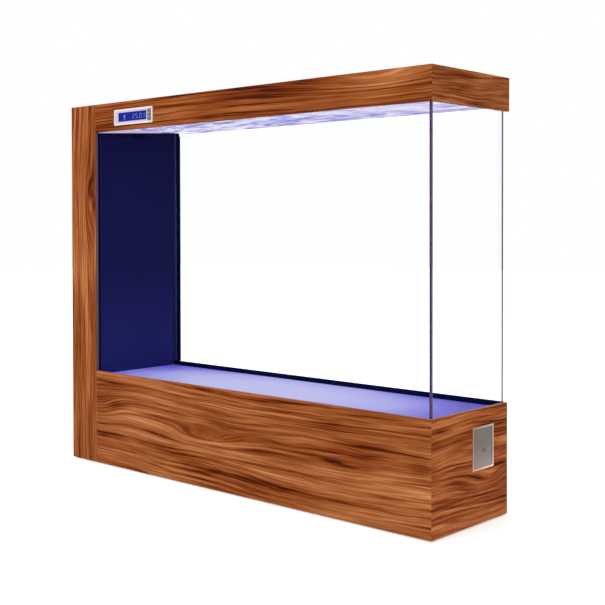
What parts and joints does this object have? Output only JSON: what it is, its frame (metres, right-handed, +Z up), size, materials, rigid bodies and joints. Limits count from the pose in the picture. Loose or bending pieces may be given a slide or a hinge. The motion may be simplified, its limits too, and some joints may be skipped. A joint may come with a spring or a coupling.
{
  "type": "screen aquarium cabinet",
  "caption": "Long glass aquarium on a low wood-veneer base, with a filter column at one end, a lidded hood holding the lamp and controller, and a steel service hatch.",
  "frame": {"origin": "on the floor, at the middle of the whole cabinet's footprint", "axes": "+Z up, -Y out of the front with the controller, +X towards the end with the steel hatch"},
  "size_m": [1.5, 0.368, 1.2],
  "materials": {
    "veneer": "satin reddish-brown veneer with dark grain",
    "plain_board": "matt brown board",
    "clear_glass": "polished clear float glass",
    "navy_plastic": "smooth dark navy",
    "silicone": "dark silicone bead",
    "foam_rubber": "matt black",
    "pale_plastic": "pale sheet",
    "grey_plastic": "grey moulded",
    "black_plastic": "black moulded",
    "white_plastic": "white moulded",
    "blue_foam": "open-cell filter foam",
    "ceramic_rings": "unglazed porous rings",
    "red_plastic": "red moulded lever",
    "steel": "bright steel",
    "brushed_plate": "brushed stainless plate",
    "lit_diffuser": "frosted lamp cover, lit lavender white",
    "silver_plastic": "pale silver bezel",
    "blue_display": "lit blue display window",
    "key_plastic": "grey key cap"
  },
  "bodies": {
    "cabinet": {"base_front_panel": "veneer", "base_rear_panel": "veneer", "base_end_panel": "veneer", "base_bottom_board": "plain_board", "base_dividers": "plain_board", "tank_deck": "plain_board", "levelling_mat": "foam_rubber", "foot_pads": "foam_rubber", "rear_trim_sill": "navy_plastic", "rear_trim_post": "navy_plastic", "glass_bottom": "clear_glass", "glass_front": "clear_glass", "glass_rear": "clear_glass", "glass_right": "clear_glass", "glass_left": "clear_glass", "tank_floor_panel": "pale_plastic", "partition_panel": "navy_plastic", "filter_baffle": "clear_glass", "corner_seals": "silicone", "column_front_panel": "veneer", "column_side_panel": "veneer", "column_rear_panel": "veneer", "column_screws": "steel", "cable_grommet": "foam_rubber", "media_trays": "grey_plastic", "filter_foam": "blue_foam", "ceramic_media": "ceramic_rings", "tray_rails": "black_plastic", "return_pump": "black_plastic", "return_pipe": "grey_plastic", "return_grommet": "foam_rubber", "return_spout": "grey_plastic", "heater": "black_plastic", "drain_bulkhead": "grey_plastic", "drain_elbow": "grey_plastic", "drain_pipe": "grey_plastic", "drain_valve_body": "grey_plastic", "power_box": "black_plastic", "hatch_frame": "brushed_plate", "hatch_pin": "steel", "hood_front_panel": "veneer", "hood_end_panel": "veneer", "hood_rear_panel": "veneer", "hinge_rail": "plain_board", "hood_cleats": "plain_board", "hinge_set": "steel", "control_panel": "silver_plastic", "control_display": "blue_display"},
    "canopy": {"canopy_lid": "veneer", "canopy_hinge_leaves": "steel", "light_box": "white_plastic", "light_diffuser": "lit_diffuser"},
    "filter_cover": {"filter_lid": "veneer", "filter_hinge_leaf": "steel"},
    "hatch": {"hatch_door": "brushed_plate"},
    "latch": {"hatch_lock": "steel"},
    "valve_handle": {"drain_lever": "red_plastic"},
    "up_key": {"key_up": "key_plastic"},
    "set_key": {"key_set": "key_plastic"},
    "down_key": {"key_down": "key_plastic"}
  },
  "joints": [
    {"name": "canopy_hinge", "type": "hinge", "parent": "cabinet", "child": "canopy", "pos_m": [0, 0.135, 1.1965], "axis": [-1, 0, 0], "range_deg": [0, 95]},
    {"name": "filter_lid_hinge", "type": "hinge", "parent": "cabinet", "child": "filter_cover", "pos_m": [-0.68, 0.135, 1.1965], "axis": [-1, 0, 0], "range_deg": [0, 95]},
    {"name": "hatch_door_hinge", "type": "hinge", "parent": "cabinet", "child": "hatch", "pos_m": [0.7465, 0.0965, 0.205], "axis": [0, 0, 1], "range_deg": [0, 100]},
    {"name": "hatch_latch_turn", "type": "hinge", "parent": "hatch", "child": "latch", "pos_m": [0.749, 0.061, 0.197], "axis": [-1, 0, 0], "range_deg": [0, 90]},
    {"name": "drain_valve_turn", "type": "hinge", "parent": "cabinet", "child": "valve_handle", "pos_m": [0.6585, 0.03, 0.201], "axis": [0, 0, 1], "range_deg": [0, 90]},
    {"name": "up_key_press", "type": "slide", "parent": "cabinet", "child": "up_key", "axis": [0, 1, 0], "range_m": [0, 0.0008], "stiffness_N_per_m": 800},
    {"name": "set_key_press", "type": "slide", "parent": "cabinet", "child": "set_key", "axis": [0, 1, 0], "range_m": [0, 0.0008], "stiffness_N_per_m": 800},
    {"name": "down_key_press", "type": "slide", "parent": "cabinet", "child": "down_key", "axis": [0, 1, 0], "range_m": [0, 0.0008], "stiffness_N_per_m": 800}
  ]
}
